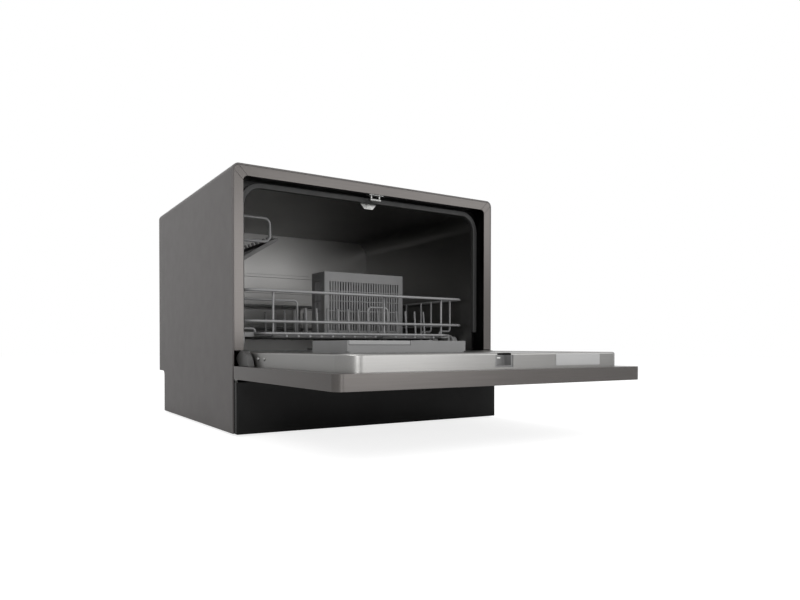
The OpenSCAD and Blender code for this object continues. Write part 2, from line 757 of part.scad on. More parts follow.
// Outer panel: a shallow steel tray that holds the core
module door_panel() color(frame_grey) from_front() difference() {
    translate([0, 0, panel_bottom]) linear_extrude(door_t)
        polygon(front_plate(half_w, door_front, door_back, door_r));
    translate([0, 0, panel_bottom + sheet_t]) linear_extrude(door_t - 2 * sheet_t)
        polygon(front_plate(half_w - sheet_t, door_front + sheet_t, door_back - sheet_t, door_r - sheet_t));
    translate([0, 0, panel_bottom + sheet_t]) linear_extrude(door_t)
        polygon(front_plate(liner_x - 14, liner_front + 14, door_back - 12, 10));
    grip_hole(0);
    block([-fascia_x, fascia_x], [fascia_y0, fascia_y1], [panel_bottom - 1, panel_bottom + sheet_t + 1]);
    both_sides() hinge_notch(0);
}

// Room for the pocket that is gripped to open the door
module grip_hole(wall) {
    y = door_front + 7;
    translate([0, 0, panel_bottom - 1]) linear_extrude(14 + wall)
        polygon(round_rect(-grip_l / 2 - wall, grip_l / 2 + wall, y - wall, y + grip_w + wall, 6 + wall));
}

// Room for the fixed hinge bracket and for the cheek's boss
module hinge_notch(wall) {
    block(
        [bracket_x0 - 0.6 - wall, bracket_x1 + 1.4 + wall],
        [hinge_y - lug_r - 1 - wall, door_back + 1], [hinge_z - lug_r - 1 - wall, panel_top + 1]
    );
    block(
        [liner_x + 1.7 - wall, bracket_x0], [hinge_y - boss_r - 0.3 - wall, door_back + 1],
        [hinge_z - boss_r - 0.3 - wall, panel_top + 1]
    );
    // Corner that would touch the casing's fold
    block(
        [half_w - fold_w - 0.6 - wall, half_w + 1], [hinge_y + 5.6 - wall, door_back + 1],
        [panel_bottom - 1, panel_top + 1]
    );
}

// Insulation and frame inside the outer panel, with the moulded grip
module door_core() color([0.25, 0.25, 0.26]) from_front() difference() {
    z0 = panel_bottom + sheet_t + 0.1;
    z1 = panel_top - sheet_t - 0.1;
    translate([0, 0, z0]) linear_extrude(z1 - z0) polygon(front_plate(
        half_w - sheet_t - 0.3, door_front + sheet_t + 0.3, door_back - sheet_t - 0.3, door_r - sheet_t
    ));
    grip_hole(0);
    block([-fascia_x - 1, fascia_x + 1], [fascia_y0 - 1, fascia_y1 + 1], [z0 - 1, z0 + 9]);
    both_sides() hinge_notch(0.5);
}

// Inner panel: a deep pressing, rounded at its lower edge about the hinge
module door_liner() color(steel) from_front() {
    inner_r = liner_round - tub_t;
    difference() {
        union() {
            difference() {
                translate([0, 0, panel_top + 0.1]) linear_extrude(liner_t - 0.1)
                    polygon(front_plate(liner_x, liner_front, hinge_y, liner_r));
                translate([0, 0, panel_top - 1]) linear_extrude(liner_t + 1 - tub_t)
                    polygon(front_plate(liner_x - tub_t, liner_front + tub_t, hinge_y + 1, liner_r - tub_t));
            }
            along_x(-liner_x, liner_x) polygon(concat(
                arc(hinge_y, hinge_z, liner_round, 90, round_a), arc(hinge_y, hinge_z, inner_r, round_a, 90)
            ));
            both_sides() along_x(liner_x - tub_t, liner_x) polygon(concat(
                arc(hinge_y, hinge_z, liner_round, 90, round_a), arc(hinge_y, hinge_z, 14, round_a, 90)
            ));
        }
        block([-16.5, 16.5], [liner_front - 1, liner_front + 2], [panel_top + 3, track_z - 3]);
        block([-13, 13], [liner_front - 1, liner_front + latch_d], [track_z - 4, track_z + 1]);
        block(
            [dispenser_x0 + 4, dispenser_x0 + bay_l], [dispenser_y0 + 4, dispenser_y0 + 54],
            [track_z - 2, track_z + 1]
        );
    }
}

// Screws in the inner panel's sides
module liner_screws() color([0.85, 0.85, 0.85]) from_front() both_sides() {
    for (y = [hinge_y - 42, hinge_y - 66]) bar_x(liner_x + 0.05, liner_x + 1.6, y, panel_top + 12, 2.6);
}

latch_d = 13.6;
catch_z = track_z - 8.4;
catch_y0 = liner_front + latch_d - 0.5;

// Socket in the inner panel's upper edge that takes the striker
module latch_housing() color(plastic_grey) from_front() difference() {
    block([-16.3, 16.3], [liner_front + 0.5, catch_y0 + 16], [panel_top + 3.2, track_z - 3.2]);
    block([-13, 13], [liner_front, liner_front + latch_d], [panel_top + 5, track_z]);
    block([-5.3, 5.3], [liner_front, catch_y0 + 12.3], [catch_z - slide_gap, catch_z + 2.4 + slide_gap]);
}

// Catch that slides out over the striker's bar
module latch_catch() color([0.8, 0.8, 0.8]) from_front() {
    block([-5, 5], [catch_y0, catch_y0 + 12], [catch_z, catch_z + 2.4]);
}

// Black strip with the controls, set in the outer face
module control_fascia() color(gloss_black) from_front() {
    difference() {
        x = fascia_x - 0.2;
        block([-x, x], [fascia_y0 + 0.2, fascia_y1 - 0.2], [panel_bottom, panel_bottom + 1.8]);
        for (x = button_x) bar_z(x, button_y, panel_bottom - 1, panel_bottom + 3, button_r + slide_gap);
        block([-35, 45], [button_y - 12, button_y + 12], [panel_bottom - 1, panel_bottom + 0.4]);
    }
    for (x = [-122, 122], y = [fascia_y0 + 5, fascia_y1 - 5]) {
        bar_z(x, y, panel_bottom + 1.7, panel_bottom + 6.2, 3);
    }
}

module control_board() color([0.1, 0.35, 0.15]) from_front() {
    block([-126, 126], [fascia_y0 + 1, fascia_y1 - 1], [panel_bottom + 6.2, panel_bottom + 7.8]);
    block([-60, -20], [fascia_y0 + 8, fascia_y1 - 12], [panel_bottom + 7.7, panel_bottom + 9.2]);
}

module button(x) color([0.2, 0.2, 0.2]) from_front() {
    bar_z(x, button_y, panel_bottom - button_out, panel_bottom + 4, button_r);
    bar_z(x, button_y, panel_bottom + 2.2, panel_bottom + 4.6, button_r + 1.5);
}

module power_button() button(button_x[0]);
module program_button() button(button_x[1]);
module start_button() button(button_x[2]);

// ---- Dispenser on the inner panel ----

cap_x = dispenser_x0 + bay_l + (dispenser_l - bay_l) / 2;
cap_y = dispenser_y0 + 40;
cap_z = dispenser_top - 5;

module dispenser_body() color(plastic_grey) from_front() {
    x1 = dispenser_x0 + dispenser_l;
    y1 = dispenser_y0 + dispenser_w;
    z0 = track_z + 0.1;
    rail_z = dispenser_top - lid_t - 2;
    bay_x = dispenser_x0 + bay_l + 1;
    difference() {
        union() {
            // Base plate
            translate([0, 0, z0]) linear_extrude(3)
                polygon(round_rect(dispenser_x0, x1, dispenser_y0, y1, 6));
            // Block that holds the rinse aid
            block([dispenser_x0 + bay_l, x1], [dispenser_y0, y1 - 6], [z0 + 2, dispenser_top]);
            // Walls of the powder cup
            block([dispenser_x0, bay_x], [dispenser_y0, dispenser_y0 + 52], [z0 + 2, rail_z]);
            block(
                [dispenser_x0 + 5, bay_x - 2], [dispenser_y0 + 5, dispenser_y0 + 53],
                [track_z - 13, z0 + 2.5]
            );
            // Rails that the lid slides on
            block([dispenser_x0, dispenser_x0 + 4], [dispenser_y0, y1 - 6], [z0 + 2, rail_z]);
            block([bay_x - 6, bay_x], [dispenser_y0, y1 - 6], [z0 + 2, rail_z]);
            block([dispenser_x0, dispenser_x0 + 2.5], [dispenser_y0, y1 - 6], [rail_z - 0.5, dispenser_top]);
        }
        block(
            [dispenser_x0 + 9, bay_x - 9], [dispenser_y0 + 9, dispenser_y0 + 46],
            [track_z - 11, rail_z + 1]
        );
        bar_z(cap_x, cap_y, cap_z - 0.3, dispenser_top + 1, cap_r + slide_gap);
    }
}

module dispenser_lid() color([0.56, 0.56, 0.56]) from_front() {
    z0 = dispenser_top - lid_t - 2 + slide_gap;
    x0 = dispenser_x0 + 2.5 + slide_gap;
    x1 = dispenser_x0 + bay_l - slide_gap;
    difference() {
        block([x0, x1], [dispenser_y0, dispenser_y0 + lid_w], [z0, dispenser_top]);
        groove_y = dispenser_y0 + lid_w - 14;
        block([x0 + 20, x1 - 20], [groove_y, groove_y + 6], [dispenser_top - 2, dispenser_top + 1]);
    }
}

module rinse_aid_cap() color([0.62, 0.62, 0.62]) from_front() difference() {
    bar_z(cap_x, cap_y, cap_z, dispenser_top + 0.8, cap_r);
    for (y = [cap_y - 11, cap_y + 3]) {
        block([cap_x - 13, cap_x + 13], [y, y + 8], [dispenser_top - 2, dispenser_top + 2]);
    }
}

// ---- Rack, drawn pushed in ----

// Three loops of thick wire
module rack_rails() color(wire_grey) from_front() {
    rail_loop(rack_x - rail_wire, rail_wire, rack_d - rail_wire, top_rail_z, rail_r);
    rail_loop(rack_x - rail_wire, rail_wire, rack_d - rail_wire, mid_rail_z, rail_r);
    rail_loop(base_x, rail_wire, rack_d - rail_wire, base_rail_z, 20);
}

// A loop of wire with round corners, butt-welded at the back
module rail_loop(x, f0, f1, z, r) {
    wire([
        rack_point(0.05, f1, z), rack_point(x, f1, z), rack_point(x, f0, z), rack_point(-x, f0, z),
        rack_point(-x, f1, z), rack_point(-0.05, f1, z)
    ], rail_wire, r);
}

long_wires = floor((base_x - 20) / base_pitch);
guard_x = -4 * base_pitch;

// Where an upright stands against the inside of a rail, also in the rail's round corners
weld_r = rail_r - rail_wire - thin_wire - weld_gap;
function in_corner(f) = max(0, rail_r + rail_wire - min(f, rack_d - f));
function upright_x(f) = side_wire_x - weld_r + sqrt(weld_r * weld_r - in_corner(f) * in_corner(f));
upright_f = [rail_wire * 2 + thin_wire + weld_gap, rack_d - rail_wire * 2 - thin_wire - weld_gap];
bent_up = [-8, 2, 8];

// Long wires under the base rail and cross wires on them
module rack_base() color(wire_grey) from_front() {
    for (i = [-long_wires : long_wires]) {
        x = i * base_pitch;
        if (len(search(i, bent_up)) == 0) {
            straight(rack_point(x, 1, long_wire_z), rack_point(x, rack_d - 1, long_wire_z), thin_wire);
        }
    }
    cross_x = base_x - rail_wire - weld_gap;
    for (f = [52, 98, 127, rack_d - 188, rack_d - 137, rack_d - 88, rack_d - 45]) {
        straight(rack_point(-cross_x, f, cross_z), rack_point(cross_x, f, cross_z), thin_wire);
    }
}

// Long wires turned up to the top rail, the guard for glasses and a small plate stop
module rack_hoops() color(wire_grey) from_front() {
    for (i = bent_up) {
        x = i * base_pitch;
        wire([
            rack_point(x, upright_f[0], top_rail_z), rack_point(x, upright_f[0], long_wire_z),
            rack_point(x, upright_f[1], long_wire_z), rack_point(x, upright_f[1], top_rail_z)
        ], thin_wire, 9);
    }
    guard_z = top_rail_z - 8;
    stop_z = top_rail_z - 21;
    wire([
        rack_point(-side_wire_x + 2 * thin_wire + weld_gap, cup_front_f, guard_z),
        rack_point(guard_x, cup_front_f, guard_z), rack_point(guard_x, cup_front_f, tine_base_z)
    ], thin_wire, 8);
    wire([
        rack_point(base_pitch, 30, tine_base_z), rack_point(base_pitch, 30, stop_z),
        rack_point(3 * base_pitch, 30, stop_z), rack_point(3 * base_pitch, 30, tine_base_z)
    ], thin_wire, 8);
}

// Uprights of the two sides
module rack_sides() color(wire_grey) from_front() for (side = [-1, 1]) {
    x = side * side_wire_x;
    low_x = side * (base_x + rail_wire + weld_gap);
    // Down to the base rail
    for (f = [rack_d - 192, rack_d - 105]) {
        top = rack_point(x, f, top_rail_z);
        wire([top, rack_point(x, f, base_rail_z), rack_point(low_x, f, base_rail_z)], thin_wire, 10);
    }
    // Over the wheels, with their feet on the base rail
    foot_z = base_rail_z + rail_wire + weld_gap;
    for (f = [39, 104, rack_d - 65, rack_d - 28]) {
        out_x = side * upright_x(f);
        wire([
            rack_point(out_x, f, top_rail_z), rack_point(out_x, f, foot_z + 6.5),
            rack_point(side * base_x, f, foot_z + 6.5), rack_point(side * base_x, f, foot_z)
        ], thin_wire, 6);
    }
    // Low wire between the wheels, turned up to the top rail
    low_f = wheel_f2 + wheel_r + 3;
    high_f = rack_d - 137;
    turned_up = rack_point(x, high_f, wheel_z);
    wire([rack_point(x, high_f, top_rail_z), turned_up, rack_point(x, low_f, wheel_z)], thin_wire, 12);
    low_top_z = wheel_z + 2 * thin_wire + weld_gap;
    straight(rack_point(x, 141, top_rail_z), rack_point(x, 141, low_top_z), thin_wire);
}

// Plate tines
module rack_tines() color(wire_grey) from_front() {
    for (f = tine_f, i = [-4 : long_wires]) {
        foot = rack_point(i * base_pitch, f, tine_base_z);
        straight(foot, foot + [0, tine_h * sin(tine_lean), tine_h * cos(tine_lean)], thin_wire);
    }
}

// Posts of the cup rack, outside the rails on the left, and the wire its shelf turns on
module cup_rack() color(wire_grey) from_front() {
    jog_z = top_rail_z + 30;
    for (f = post_f) {
        wire([
            rack_point(-post_x, f, mid_rail_z - 4), rack_point(-post_x, f, jog_z),
            rack_point(-shelf_post_x, f, jog_z),
            rack_point(-shelf_post_x, f, cup_top_z - 2 * rail_wire - weld_gap)
        ], rail_wire, post_bend);
    }
    front = rack_point(-pivot_x, cup_front_f - 6, pivot_z);
    straight(front, rack_point(-pivot_x, cup_back_f, pivot_z), thin_wire);
}

// Guard around the cup rack, bent from one wire
module cup_guard() color(wire_grey) from_front() {
    low_x = shelf_post_x - 2 * rail_wire - weld_gap;
    wire([
        rack_point(-shelf_post_x, cup_back_f, cup_top_z), rack_point(-shelf_post_x, cup_front_f, cup_top_z),
        rack_point(-cup_out_x, cup_front_f, cup_top_z), rack_point(-cup_out_x, cup_front_f, cup_low_z),
        rack_point(-low_x, cup_front_f, cup_low_z), rack_point(-low_x, cup_back_f, cup_low_z)
    ], rail_wire, 12);
}

shelf_f0 = cup_front_f + 8;
shelf_f1 = cup_back_f - 10;
shelf_l = shelf_f1 - shelf_f0;
comb_count = 13;

// Sloping shelf for cups, clipped on its pivot wire
module cup_shelf() color([0.46, 0.46, 0.46]) from_front()
    translate([-pivot_x, rack_front, pivot_z]) rotate([0, -shelf_tilt, 0]) {
    clip_r = thin_wire + 3;
    difference() {
        union() {
            // Clips
            for (f = [shelf_f0 + 22, shelf_f1 - 46]) {
                bar_y(0, f, f + 24, 0, clip_r);
                block([0, 14], [f, f + 24], [-2, 3]);
            }
            // Frame of the shelf
            block([8, 20], [shelf_f0, shelf_f1], [-2, 5]);
            block([shelf_w - 12, shelf_w], [shelf_f0, shelf_f1], [-2, 3]);
            for (f = [shelf_f0, shelf_f1 - 3]) block([19, shelf_w - 11], [f, f + 3], [-2, 5]);
            // Bars between them
            for (i = [1 : comb_count - 1]) {
                f = shelf_f0 + i * shelf_l / comb_count;
                block([19, shelf_w - 11], [f - 1.2, f + 1.2], [-2, 1]);
            }
        }
        bar_y(0, shelf_f0 - 1, shelf_f1 + 1, 0, thin_wire + pin_gap);
        block([-20, 0.6], [shelf_f0 - 1, shelf_f1 + 1], [-thin_wire * 0.7, 0.4]);
    }
    // Comb, clipped on the outer edge
    block([shelf_w - 9, shelf_w - 3], [shelf_f0 + 2, shelf_f1 - 2], [3 + weld_gap, 5]);
    for (i = [0 : comb_count - 1]) {
        f = shelf_f0 + (i + 0.5) * shelf_l / comb_count;
        block([shelf_w - 8, shelf_w - 4], [f - 1.5, f + 1.5], [4, 12]);
    }
}

// Brackets of the wheels, each with its axle, clipped on the base rail
module wheel_carriers() color([0.55, 0.55, 0.55]) from_front() both_sides() {
    arm_x = base_x + rail_wire + weld_gap;
    arm_z = base_rail_z + rail_wire;
    for (f = [wheel_f1, wheel_f2, wheel_f3, wheel_f4]) {
        y = rack_front + f;
        along_x(carrier_x - 5, carrier_x - 1) translate([y, wheel_z]) union() {
            circle(7);
            polygon([[-7, 0], [7, 0], [5, arm_z - wheel_z], [-5, arm_z - wheel_z]]);
        }
        bar_x(carrier_x - 2, head_x + 1, y, wheel_z, axle_r);
        // Head of the axle
        bar_x(head_x, head_x + 1.4, y, wheel_z, axle_r + 1.6);
        // Clip
        block([arm_x, carrier_x - 5 - weld_gap], [y - 5, y + 5], [arm_z - 8, arm_z]);
    }
}

hub_r = axle_r + 2;
spoke_t = 1.2;
// Half the width between two of the ten spokes at a radius
function pocket_w(r) = r * tan(18) - spoke_t / 2;

// Wheel with a running flange on its inner side and a spoked drum
module wheel(side, f) color([0.66, 0.66, 0.66]) from_front() {
    translate([side * (wheel_x - wheel_w / 2), rack_front + f, wheel_z]) rotate([0, side * 90, 0])
        difference() {
            rotate_extrude() polygon([
                [axle_r + pin_gap, 0], [wheel_r - 1, 0], [wheel_r, 1], [wheel_r, 4], [wheel_r - 1, 5],
                [drum_r, 6], [drum_r, wheel_w - 1], [drum_r - 1, wheel_w], [axle_r + pin_gap, wheel_w]
            ]);
            for (i = [0 : 9]) rotate(i * 36) translate([0, 0, -1]) linear_extrude(wheel_w + 2) polygon([
                [hub_r, -pocket_w(hub_r)], [drum_r - 1.6, -pocket_w(drum_r - 1.6)],
                [drum_r - 1.6, pocket_w(drum_r - 1.6)], [hub_r, pocket_w(hub_r)]
            ]);
        }
}

module wheel_front_left_1() wheel(-1, wheel_f1);
module wheel_front_left_2() wheel(-1, wheel_f2);
module wheel_rear_left_1() wheel(-1, wheel_f3);
module wheel_rear_left_2() wheel(-1, wheel_f4);
module wheel_front_right_1() wheel(1, wheel_f1);
module wheel_front_right_2() wheel(1, wheel_f2);
module wheel_rear_right_1() wheel(1, wheel_f3);
module wheel_rear_right_2() wheel(1, wheel_f4);

// ---- Cutlery basket ----

slot_w = slot_pitch * 0.5;

// A basket wall: a flat plate with rows of slots
module slotted(l, h, rim) {
    columns = floor((l - 17) / slot_pitch);
    rows = 5;
    row_h = (h - rim - 8) / rows;
    difference() {
        square([l, h]);
        for (i = [0 : columns - 1], j = [0 : rows - 1]) {
            x = (l - columns * slot_pitch) / 2 + (i + 0.5) * slot_pitch - slot_w / 2;
            translate([x, 6 + j * row_h]) square([slot_w, row_h - 1.6]);
        }
    }
}

module cutlery_basket() color([0.5, 0.5, 0.5]) from_front()
    translate([basket_x0, rack_front + basket_f, basket_z]) {
    in_l = basket_l - 2 * basket_t - 2 * weld_gap;
    in_d = basket_d - 2 * basket_t - 2 * weld_gap;
    floor_t = 2;
    wall_z = floor_t + weld_gap;
    rim = 15;
    // Floor
    linear_extrude(floor_t) difference() {
        square([basket_l, basket_d]);
        for (i = [0 : 9], j = [0 : 3]) translate([10 + i * 15, 8 + j * 11]) square([8, 5]);
    }
    // Long walls, short walls and two partitions, snapped together
    for (y = [basket_t, basket_d]) {
        translate([0, y, wall_z]) rotate([90, 0, 0]) linear_extrude(basket_t)
            slotted(basket_l, basket_h - wall_z, rim);
    }
    for (x = [0, basket_l - basket_t]) {
        translate([x, basket_t + weld_gap, wall_z]) rotate([90, 0, 90]) linear_extrude(basket_t)
            slotted(in_d, basket_h - wall_z, rim);
    }
    for (x = [basket_l / 3, basket_l * 2 / 3]) {
        translate([x - 0.8, basket_t + weld_gap, wall_z]) cube([1.6, in_d, basket_h - wall_z - 12]);
    }
}

outer_casing();
front_frame();
kick_plate();
rear_panel();
base_tray();
feet();
tub_wrap();
tub_back();
tub_floor();
door_gasket();
latch_striker();
sump();
fine_filter();
spray_arm_stand();
pumps();
inlet_valve();
water_heater();
air_break();
inner_hoses();
inlet_connector();
drain_spigot();
cable_gland();
hinge_brackets();
hinge_springs();
casing_screws();
door_panel();
door_core();
door_liner();
liner_screws();
hinge_cheeks();
control_fascia();
control_board();
dispenser_body();
latch_housing();
dispenser_lid();
rinse_aid_cap();
latch_catch();
power_button();
program_button();
start_button();
coarse_filter();
spray_arm();
rack_rails();
rack_base();
rack_hoops();
rack_sides();
rack_tines();
cup_rack();
cup_guard();
wheel_carriers();
cup_shelf();
cutlery_basket();
wheel_front_left_1();
wheel_front_left_2();
wheel_rear_left_1();
wheel_rear_left_2();
wheel_front_right_1();
wheel_front_right_2();
wheel_rear_right_1();
wheel_rear_right_2();
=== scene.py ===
"""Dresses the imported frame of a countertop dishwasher: finishes, rounded edges, small fittings."""
import json
import math

import bmesh
import bpy
from bpy.props import FloatProperty, FloatVectorProperty, PointerProperty
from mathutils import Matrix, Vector

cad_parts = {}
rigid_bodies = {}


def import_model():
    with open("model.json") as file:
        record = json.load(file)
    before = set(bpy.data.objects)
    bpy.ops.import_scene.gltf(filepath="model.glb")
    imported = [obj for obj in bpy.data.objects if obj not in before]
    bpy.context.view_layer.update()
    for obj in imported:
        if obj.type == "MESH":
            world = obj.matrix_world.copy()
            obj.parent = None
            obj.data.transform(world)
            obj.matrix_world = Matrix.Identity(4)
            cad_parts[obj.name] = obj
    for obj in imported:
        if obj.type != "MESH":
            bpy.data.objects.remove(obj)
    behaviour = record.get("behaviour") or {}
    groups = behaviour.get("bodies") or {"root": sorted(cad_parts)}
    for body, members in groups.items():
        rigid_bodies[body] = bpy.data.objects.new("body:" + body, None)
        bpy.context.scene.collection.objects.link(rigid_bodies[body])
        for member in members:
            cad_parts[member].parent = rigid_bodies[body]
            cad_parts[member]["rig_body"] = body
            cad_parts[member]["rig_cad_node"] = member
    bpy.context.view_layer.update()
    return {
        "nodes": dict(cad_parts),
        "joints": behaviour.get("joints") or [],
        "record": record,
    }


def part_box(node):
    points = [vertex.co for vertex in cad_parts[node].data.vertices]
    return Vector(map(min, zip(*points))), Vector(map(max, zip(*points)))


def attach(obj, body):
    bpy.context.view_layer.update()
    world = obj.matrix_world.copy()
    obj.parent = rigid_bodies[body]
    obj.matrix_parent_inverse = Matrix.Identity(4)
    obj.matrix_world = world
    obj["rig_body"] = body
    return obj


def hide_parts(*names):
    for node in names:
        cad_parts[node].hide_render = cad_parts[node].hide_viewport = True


bl_info = {
    "name": "Countertop Dishwasher",
    "version": (1, 0, 0),
    "blender": (4, 5, 0),
    "location": "View3D > Sidebar > Dishwasher",
    "description": "Finishes and fittings of a countertop dishwasher on its packed frame",
    "category": "Add Mesh",
}

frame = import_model()
HINGE = next(Vector(j["pos_m"]) for j in frame["joints"] if j["name"] == "door_hinge")
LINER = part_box("door_liner")
SLOT_OF = {s["node"]: s["material_slot"] for s in frame["record"]["subparts"]}

# All lengths are in metres and all angles in degrees.

# Nodes whose finish differs from the plain one of their slot
OWN_FINISH = {
    # Painted shade: the tub's finish is a darker copy of the stainless, with its flange painted
    # black
    "tub_wrap": "tub_steel_painted_shade", "tub_back": "tub_steel_painted_shade", "tub_floor": "tub_steel_painted_shade",
    # Painted shade: the front frame's finish has its return painted black
    "front_frame": "frame_band_painted_shade", "hinge_cheeks": "dark_plastic", "cup_shelf": "dark_plastic",
}

# Patterns of the finishes, in repeats per metre, and the height of their relief
CLOUD_SCALE = 9.0
WEAR_SCALE = 46.0
GRAIN_HEIGHT = 0.0006
BRUSH_SCALE = 560.0
BRUSH_HEIGHT = 0.0004
BRUSH_DARK = (0.72, 0.72, 0.72)
STAIN_SCALE = 5.0
STAIN_SPREAD = 0.04
# Rolled sheet is stretched to long marks along one axis
MARKS_ALONG_X = (0.02, 1, 1)
MARKS_ALONG_Y = (1, 0.02, 1)
# Painted shade: the return of the front frame and the tub's flange, which lie in shade, are painted
# black, each from one Y place to another
FRAME_RETURN_SHADE_Y = (-0.0664, -0.0662)
TUB_FLANGE_SHADE_Y = (-0.0366, -0.0368)
SHADE_BLACK = (0.02, 0.02, 0.02)
WHITE = (1, 1, 1)

# Merging, rounding and smoothing of the softened pieces
MERGE_WITHIN = 0.00001
FLAT_WITHIN = 0.6
ROUND_OVER = 30
SMOOTH_UNDER = 38
FLAT_WEIGHT = 80

# Inner panel, pressed from one sheet
PRESSED_HEIGHT = 0.0228
PRESSED_CORNER = 0.028
FIELD_STEP = 0.0025
FIELD_DROP = 0.0013
ROLL_TURN = -50
CORNER_STEPS = 14
FOLD_RADIUS = 0.003
INNER_SHEET = 0.001
SOCKET_HALF_WIDTH = 0.0165
SOCKET_DEPTH = 0.006
SOCKET_RIM = 0.003
MOUTH_HALF_WIDTH = 0.013
MOUTH_DEPTH = 0.0136
MOUTH_HEIGHT = 0.006
CUP_MARGIN = 0.001
CUP_SHIFT = 0.004
CUTTER_REACH = 0.01

# Screws, blank plate and display window
SIDE_SCREW_RADIUS = 0.0026
REAR_SCREW_RADIUS = 0.004
SCREW_HEIGHT = 0.0016
SCREW_SIDES = 28
# Shares of a screw's height and radius
HEAD_ROUND = 0.45
RECESS_DEPTH = 0.55
RECESS_HALF_WIDTH = 0.16
RECESS_HALF_LENGTH = 0.62
PLATE_X = (0.102, 0.198)
PLATE_HALF_HEIGHT = 0.0085
PLATE_BELOW_RIM = 0.0105
PLATE_THICKNESS = 0.0003
PLATE_LIFT = 0.0001
PLATE_CORNER = 0.0015
WINDOW_X = (-0.0345, 0.0445)
WINDOW_HALF_WIDTH = 0.0115
WINDOW_THICKNESS = 0.0004
WINDOW_CORNER = 0.002

# Camera that took the photographed view
CAMERA_PLACE = (-0.6203, -1.0383, 0.1439)
CAMERA_TURN = (89.27, 0, -30.85)
CAMERA_LENS = 28.44
CAMERA_SENSOR = 36
CAMERA_SHIFT = (0.0522, 0.0676)

# Name, place, target, size and share of the softbox power of each lamp
LAMPS = (
    ("key_lamp", (-1.5, -1.9, 2.1), (0, -0.1, 0.2), 1.6, 2.2),
    ("fill_lamp", (1.9, -1.6, 1.3), (0, 0, 0.2), 1.5, 1.0),
    ("top_lamp", (0, 0.2, 2.2), (0, 0, 0), 1.8, 1.0),
    ("corner_lamp", (-0.6, -2.2, 0.5), (0, 0, 0.25), 0.8, 0.8),
    ("back_lamp", (0.6, 2.4, 1.2), (0, 0.4, 0.2), 1.6, 1.0),
    ("front_lamp", (0.8, -2.3, 0.4), (-0.1, -0.3, 0.15), 1.3, 1.1),
)
WORLD_LIGHT = 0.5
FLOOR_SIZE = 14
FLOOR_SHADOW_GREY = 0.42
FLOOR_GLOW = 0.8
FLOOR_GREY = 0.85


def tint(name, default, words):
    return FloatVectorProperty(
        name=name, description=words, default=default, size=3, min=0, max=1, subtype="COLOR"
    )


def rounding(name, default, words):
    return FloatProperty(
        name=name, description=words, default=default, min=0.0002, max=0.003, unit="LENGTH"
    )


class DishwasherFinishes(bpy.types.PropertyGroup):
    casing: tint("Casing", (0.068, 0.062, 0.060), "Paint of the casing")
    trim: tint("Trim", (0.105, 0.098, 0.094), "Sheet of the front frame and the door's outer panel")
    steel: tint("Stainless steel", (0.235, 0.232, 0.226), "Sheet of the door's inner panel")
    # Painted shade: the tub is the same stainless steel as the inner panel, given a darker colour
    # because it lies in shade
    tub: tint("Tub", (0.20, 0.198, 0.194), "Darker sheet of the tub, which lies in its own shade")
    wire: tint("Wire", (0.215, 0.215, 0.217), "Coating of the rack's wires")
    plastic: tint("Plastic", (0.150, 0.150, 0.150), "Grey mouldings")
    dark_plastic: tint("Dark plastic", (0.060, 0.059, 0.058), "Hinge cheeks and cup shelf")
    light_plastic: tint("Light plastic", (0.235, 0.235, 0.235), "Lighter grey mouldings")
    black: tint("Black", (0.012, 0.012, 0.012), "Glossy black front strips")
    rubber: tint("Rubber", (0.02, 0.02, 0.02), "Seals and feet")


class DishwasherSizes(bpy.types.PropertyGroup):
    thick_edge: rounding("Thick edge", 0.0012, "Round on kick plate, base tray, seal and feet")
    soft_edge: rounding("Soft edge", 0.0007, "Round on casing, door and dispenser")
    moulded_edge: rounding("Moulded edge", 0.0005, "Round on small mouldings")
    sheet_edge: rounding("Sheet edge", 0.0004, "Round on thin sheet, cup shelf and wheels")
    crisp_edge: rounding("Crisp edge", 0.0003, "Round on brackets, rear panel and strips")
    ledge: FloatProperty(
        name="Ledge", description="Width of the flat border round the inner panel's pressed field",
        default=0.0235, min=0.02, max=0.025, unit="LENGTH",
    )
    softbox_power: FloatProperty(
        name="Softbox power", description="Power of a soft lamp of share 1, in watts",
        default=11.0, min=1.0, max=60.0,
    )


def finishes():
    return bpy.context.scene.dishwasher_finishes


def sizes():
    return bpy.context.scene.dishwasher_sizes


# ---- Materials ----

MATERIALS = {}


def new_finish(name):
    """Adds a finish to those at hand, and gives its node tree, shader and coordinates."""
    mat = bpy.data.materials.new(name)
    mat.use_nodes = True
    MATERIALS[name] = mat
    tree = mat.node_tree
    return tree, tree.nodes["Principled BSDF"], tree.nodes.new("ShaderNodeTexCoord")


def add(tree, kind, **inputs):
    node = tree.nodes.new(kind)
    for key, value in inputs.items():
        node.inputs[key.replace("_", " ")].default_value = value
    return node


def noise(tree, coord, scale, detail=2.0, stretch=(1, 1, 1)):
    place = tree.nodes.new("ShaderNodeMapping")
    place.inputs["Scale"].default_value = stretch
    tree.links.new(coord.outputs["Object"], place.inputs["Vector"])
    tex = add(tree, "ShaderNodeTexNoise", Scale=scale, Detail=detail)
    tree.links.new(place.outputs["Vector"], tex.inputs["Vector"])
    return tex.outputs["Fac"]


def remap(tree, value, low, high, from_low=0.3, from_high=0.7):
    node = tree.nodes.new("ShaderNodeMapRange")
    node.inputs["From Min"].default_value = from_low
    node.inputs["From Max"].default_value = from_high
    node.inputs["To Min"].default_value = low
    node.inputs["To Max"].default_value = high
    tree.links.new(value, node.inputs["Value"])
    return node.outputs["Result"]


def shade_between(tree, value, dark, light):
    node = tree.nodes.new("ShaderNodeMix")
    node.data_type = "RGBA"
    node.inputs["A"].default_value = (*dark, 1)
    node.inputs["B"].default_value = (*light, 1)
    tree.links.new(value, node.inputs["Factor"])
    return node.outputs["Result"]


def tinted(tree, value, colour, spread):
    """A colour that grows darker and lighter by a share of itself, as a noise does."""
    dark, light = ([min(1.0, c * by) for c in colour] for by in (1 - spread, 1 + spread))
    return shade_between(tree, remap(tree, value, 0, 1), dark, light)


def bump(tree, shader, height, strength, distance):
    node = add(tree, "ShaderNodeBump", Strength=strength, Distance=distance)
    tree.links.new(height, node.inputs["Height"])
    tree.links.new(node.outputs["Normal"], shader.inputs["Normal"])


